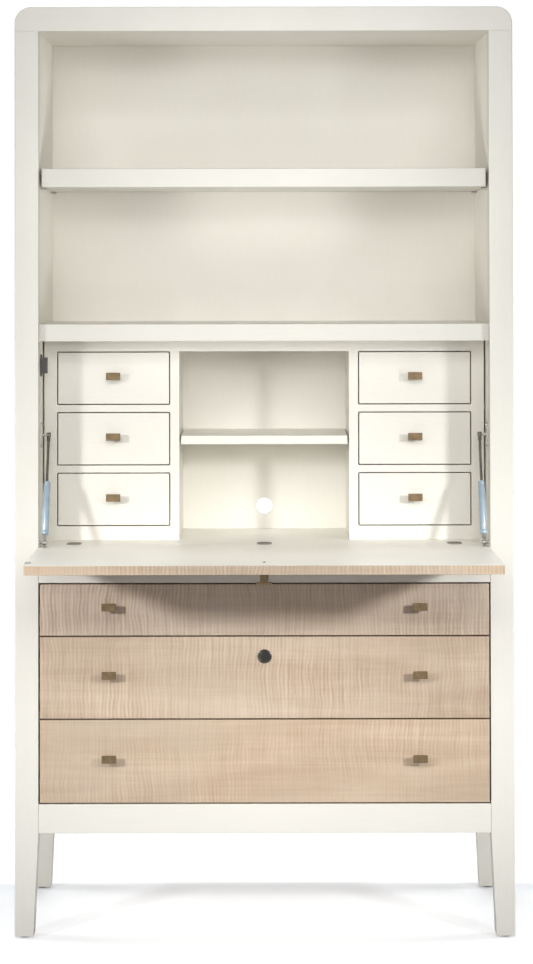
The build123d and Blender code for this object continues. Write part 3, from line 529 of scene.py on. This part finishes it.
def add_channel(shape, back, out, y0, y1, z0, z1):
    """A rolled steel channel along Y; its web is at back and its lips reach to out."""
    deep = abs(out - back) / MM
    tall = (z1 - z0) / MM
    inner = deep - CHANNEL_SHEET
    outline = [(0, 0), (deep, 0), (deep, CHANNEL_LIP), (inner, CHANNEL_LIP)]
    outline += [(inner, CHANNEL_SHEET), (CHANNEL_SHEET, CHANNEL_SHEET)]
    outline += [(a, tall - u) for a, u in reversed(outline)]
    toward = math.copysign(1.0, out - back)
    add_extruded(shape, outline, (back, y0, z0), (toward, 0, 0), (0, 0, 1), (0, 1, 0), y1 - y0)


def slide_member(shape, back, out, y0, y1, z0, z1):
    """A channel with a row of screws along the middle of its web."""
    add_channel(shape, back, out, y0, y1, z0, z1)
    toward = math.copysign(1.0, out - back)
    for part in SLIDE_SCREWS:
        place = (back + toward * CHANNEL_SHEET * MM, y0 + part * (y1 - y0), (z0 + z1) / 2)
        add_screw(shape, place, (toward, 0, 0), SLIDE_SCREW_RADIUS, SLIDE_SCREW_RISE)


def slides(prefix):
    """The moving members: a channel on each side of the box, with its screws."""
    low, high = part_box(f"{prefix}_drawer_slides")
    box_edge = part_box(f"{prefix}_drawer_box")[1][0]
    shape = bmesh.new()
    for side in (-1, 1):
        slide_member(shape, side * box_edge, side * high[0], low[1], high[1], low[2], high[2])
    piece = finished(f"{prefix}_slide_channels", shape, STEEL, f"{prefix}_drawer")
    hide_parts(f"{prefix}_drawer_slides")


def runners():
    """The fixed members on the walls: deeper channels that the slides run in."""
    low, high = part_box("drawer_runners")
    shape = bmesh.new()
    half = RUNNER_HEIGHT * MM / 2
    for prefix in DRAWERS:
        slide_low, slide_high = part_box(f"{prefix}_drawer_slides")
        middle = (slide_low[2] + slide_high[2]) / 2
        for side in (-1, 1):
            wall = side * high[0]
            edge = side * (high[0] - RUNNER_DEPTH * MM)
            slide_member(shape, wall, edge, low[1], high[1], middle - half, middle + half)
    piece = finished("runner_channels", shape, STEEL, "case")
    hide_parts("drawer_runners")


def dovetails(prefix):
    """End grain of the joints at the corners of a wide drawer's box."""
    low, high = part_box(f"{prefix}_drawer_box")
    outline = [(0, -TAIL_WIDE), (TAIL_LONG, -TAIL_NARROW), (TAIL_LONG, TAIL_NARROW), (0, TAIL_WIDE)]
    shape = bmesh.new()
    tall = high[2] - low[2] - 2 * TAIL_MARGIN * MM
    count = round(tall / (TAIL_PITCH * MM))
    pitch = tall / count
    for side in (-1, 1):
        face = side * (high[0] + TAIL_PROUD * MM)
        for end, toward in ((low[1], 1), (high[1], -1)):
            for step in range(count):
                middle = low[2] + TAIL_MARGIN * MM + (step + 0.5) * pitch
                place = (face, end, middle)
                add_extruded(shape, outline, place, (0, toward, 0), (0, 0, 1), (-side, 0, 0), TAIL_PROUD * MM)
    finished(f"{prefix}_box_joints", shape, END_GRAIN, f"{prefix}_drawer")


def pull_screws(prefix, body, pull_node, wall):
    """The screws that hold a drawer's pulls, seen from inside its box."""
    low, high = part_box(pull_node)
    height = (low[2] + high[2]) / 2
    half = PULL_WIDTH * MM / 2
    # Rounded, the two ends of a single pull give the same place, and so one screw.
    places = {round(low[0] + half, 5), round(high[0] - half, 5)}
    shape = bmesh.new()
    for x in sorted(places):
        add_screw(shape, (x, wall, height), (0, 1, 0), PULL_SCREW_RADIUS, PULL_SCREW_RISE)
    finished(f"{prefix}_pull_screws", shape, STEEL, body)


def row_of(start, stop, count):
    """The middles of count equal steps from start to stop."""
    return [start + (stop - start) * (step + 0.5) / count for step in range(count)]


def back_screws():
    """Low-headed screws round the edges of both back panels."""
    inset = BACK_SCREW_INSET * MM
    shape = bmesh.new()
    for node, across, upward in (("back_panel", 7, 8), ("base_back_panel", 7, 4)):
        low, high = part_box(node)
        places = []
        for x in row_of(low[0], high[0], across):
            places += [(x, low[2] + inset), (x, high[2] - inset)]
        for z in row_of(low[2], high[2], upward):
            places += [(low[0] + inset, z), (high[0] - inset, z)]
        for x, z in places:
            add_screw(shape, (x, high[1], z), (0, 1, 0), BACK_SCREW_RADIUS, BACK_SCREW_RISE)
    finished("back_screws", shape, STEEL, "case")


def lock_collar():
    """The lock's sleeve: a domed collar with a groove, the barrel and its nut."""
    low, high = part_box("lock_body")
    drawer_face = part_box("middle_drawer_front")[0][1]
    place = ((low[0] + high[0]) / 2, drawer_face, (low[2] + high[2]) / 2)
    shape = bmesh.new()
    add_turned(shape, LOCK_PROFILE, place, (0, 1, 0), hollow=True, sides=LOCK_SIDES)
    piece = finished("lock_collar", shape, BRONZE, "middle_drawer")
    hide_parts("lock_body")


for prefix, _ in SIDES:
    strut(prefix)
    for row in SMALL_ROWS:
        drawer = f"{prefix}_small_{row}"
        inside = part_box(f"{prefix}_small_drawer_{row}")[0][1] + (SMALL_FRONT + SMALL_BOX_BOARD) * MM
        pull_screws(drawer, drawer, f"{prefix}_small_pull_{row}", inside)
for prefix in DRAWERS:
    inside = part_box(f"{prefix}_drawer_box")[0][1] + BOX_BOARD * MM
    pull_screws(prefix, f"{prefix}_drawer", f"{prefix}_drawer_pulls", inside)
    slides(prefix)
    dovetails(prefix)
runners()
back_screws()
lock_collar()

# ---------------------------------------------------------------- camera and light
# Metres, radians and watts; the lens and the sensor are in millimetres.

CAMERA_BACK = 5.674
CAMERA_HEIGHT = 1.4184
CAMERA_X = 0.0059
CAMERA_LENS = 99.06
CAMERA_SENSOR = 36.0
CAMERA_TILT = 0.0189
CAMERA_ROLL = -0.0019
CAMERA_SHIFT_Y = -0.2697
WHITE = (1.0, 1.0, 1.0, 1.0)
AMBIENT = 0.03
MIRRORED_ROOM = 0.45
BACKDROP = 1.05
FLOOR_RADIUS = 3.2
FLOOR_COLOUR = (0.71, 0.74, 0.78, 1.0)
# The floor's glow is weaker next to the desk, as a painted shadow.
FLOOR_PAINTED_SHADOW_GLOW = 0.25
FLOOR_OPEN_GLOW = 0.56
FLOOR_RAMP_START = 0.42
FLOOR_RAMP_END = 0.10
FLOOR_REAR_RAMP = 0.03
FLOOR_FADE_START = 1.0
FLOOR_FADE_END = 3.0
KEY_POWER = {"left": 332.0, "right": 362.0}


def camera():
    """The view from in front: a long lens, level with the bookcase and shifted down."""
    data = bpy.data.cameras.new("camera")
    data.lens = CAMERA_LENS
    data.sensor_width = CAMERA_SENSOR
    data.shift_y = CAMERA_SHIFT_Y
    view = bpy.data.objects.new("camera", data)
    view.location = (CAMERA_X, FRONT_Y - CAMERA_BACK, CAMERA_HEIGHT)
    view.rotation_mode = "XYZ"
    turn = Matrix.Rotation(math.pi / 2 + CAMERA_TILT, 4, "X") @ Matrix.Rotation(CAMERA_ROLL, 4, "Z")
    view.rotation_euler = turn.to_euler()
    bpy.context.collection.objects.link(view)
    bpy.context.scene.camera = view


def aim(lamp, place, target):
    """Puts a lamp in its place, facing its target."""
    lamp.location = place
    lamp.rotation_euler = (Vector(target) - Vector(place)).to_track_quat("-Z", "Y").to_euler()
    bpy.context.collection.objects.link(lamp)


def soft_box(name, place, target, width, height, power):
    """A rectangular soft box that lights the paint but doesn't show as a reflection in it."""
    data = bpy.data.lights.new(name, "AREA")
    data.shape = "RECTANGLE"
    data.size = width
    data.size_y = height
    data.energy = power
    lamp = bpy.data.objects.new(name, data)
    lamp.visible_glossy = False
    aim(lamp, place, target)


def oval_spot(name, place, target, spread_across, spread_up, radius, power):
    """A soft lamp whose pool of light is an oval; spread_up is its full angle in radians."""
    data = bpy.data.lights.new(name, "SPOT")
    data.energy = power
    data.spot_size = spread_up
    data.spot_blend = 1.0
    data.shadow_soft_size = radius
    lamp = bpy.data.objects.new(name, data)
    lamp.scale = (spread_across / spread_up, 1, 1)
    aim(lamp, place, target)


def world():
    """Faint light from all round, a paler room for metal to mirror, and a white backdrop."""
    scene_world = bpy.data.worlds.new("studio")
    bpy.context.scene.world = scene_world
    scene_world.use_nodes = True
    tree = scene_world.node_tree
    ambient = tree.nodes["Background"]
    seen = tree.nodes.new("ShaderNodeBackground")
    mirrored = tree.nodes.new("ShaderNodeBackground")
    for background, strength in ((ambient, AMBIENT), (seen, BACKDROP), (mirrored, MIRRORED_ROOM)):
        background.inputs["Color"].default_value = WHITE
        background.inputs["Strength"].default_value = strength
    path = tree.nodes.new("ShaderNodeLightPath")
    surface = ambient.outputs["Background"]
    for rays, source in (("Is Glossy Ray", mirrored), ("Is Camera Ray", seen)):
        mixer = tree.nodes.new("ShaderNodeMixShader")
        tree.links.new(path.outputs[rays], mixer.inputs["Fac"])
        tree.links.new(surface, mixer.inputs[1])
        tree.links.new(source.outputs["Background"], mixer.inputs[2])
        surface = mixer.outputs["Shader"]
    tree.links.new(surface, tree.nodes["World Output"].inputs["Surface"])


def floor():
    """A pale floor that fades into the backdrop away from the desk."""
    mesh = bpy.data.meshes.new("studio_floor")
    shape = bmesh.new()
    bmesh.ops.create_circle(shape, cap_ends=True, segments=96, radius=FLOOR_RADIUS)
    shape.to_mesh(mesh)
    shape.free()
    plane = bpy.data.objects.new("studio_floor", mesh)
    bpy.context.collection.objects.link(plane)
    n = Nodes("studio_floor")
    n.set(Base_Color=FLOOR_COLOUR, Roughness=0.85, Specular_IOR_Level=0.1)

    # Seen by the camera, the floor glows more once it is clear of the desk, in front and behind; the weaker
    # glow next to the desk is a painted shadow under it.
    parts = n.tree.nodes.new("ShaderNodeSeparateXYZ")
    n.join(n.coords, parts.inputs[0])
    depth = parts.outputs["Y"]
    in_front = n.spread(depth, FRONT_Y + FLOOR_RAMP_START, FRONT_Y - FLOOR_RAMP_END,
                        FLOOR_PAINTED_SHADOW_GLOW, FLOOR_OPEN_GLOW)
    in_rear = n.spread(depth, REAR_Y, REAR_Y + FLOOR_REAR_RAMP, FLOOR_PAINTED_SHADOW_GLOW, FLOOR_OPEN_GLOW)
    glow_with_painted_shadow = n.math("MAXIMUM", in_front, in_rear)
    path = n.tree.nodes.new("ShaderNodeLightPath")
    n.join(n.math("MULTIPLY", glow_with_painted_shadow, path.outputs["Is Camera Ray"]), n.shader.inputs["Emission Strength"])
    n.set(Emission_Color=WHITE)

    # Far from the middle it turns clear, so that its edge doesn't show.
    length = n.tree.nodes.new("ShaderNodeVectorMath")
    length.operation = "LENGTH"
    n.join(n.coords, length.inputs[0])
    fade = n.spread(length.outputs["Value"], FLOOR_FADE_START, FLOOR_FADE_END, 1.0, 0.0)
    n.join(fade, n.shader.inputs["Alpha"])
    mesh.materials.append(n.material)


camera()
world()
floor()
for name, side in SIDES:
    oval_spot(f"{name}_key", (side * 2.44, FRONT_Y - 2.76, 1.68), (side * 0.45, FRONT_Y, 0.62),
              spread_across=0.46, spread_up=0.44, radius=0.17, power=KEY_POWER[name])
oval_spot("upper_front", (0, FRONT_Y - 6.0, 2.3), (0, FRONT_Y, 1.75),
          spread_across=0.6, spread_up=0.40, radius=1.0, power=290.0)
soft_box("high_fill", (0, FRONT_Y - 4.0, 2.9), (0, FRONT_Y, 1.0), width=4.0, height=1.5, power=92.0)
oval_spot("desk_fill", (0, FRONT_Y - 3.0, 1.40), (0, 0.1, 1.04),
          spread_across=0.42, spread_up=0.19, radius=0.3, power=40.0)
for name, side in SIDES:
    oval_spot(f"{name}_bay", (side * 1.1, FRONT_Y - 1.0, 0.95), (-side * 0.3, 0.1, 1.72),
              spread_across=0.8, spread_up=0.62, radius=0.25, power=62.0)
soft_box("behind", (0, 4.2, 2.6), (0, 0, 1.0), width=3.0, height=2.0, power=125.0)
soft_box("overhead", (0, 0.3, 4.3), (0, 0.2, 1.98), width=1.6, height=0.9, power=22.0)
for name, side in SIDES:
    soft_box(f"{name}_side", (side * 4.2, 0.8, 2.2), (side * 0.5, 0, 1.0), width=1.5, height=2.5, power=75.0)
bpy.context.scene.view_settings.view_transform = "Standard"
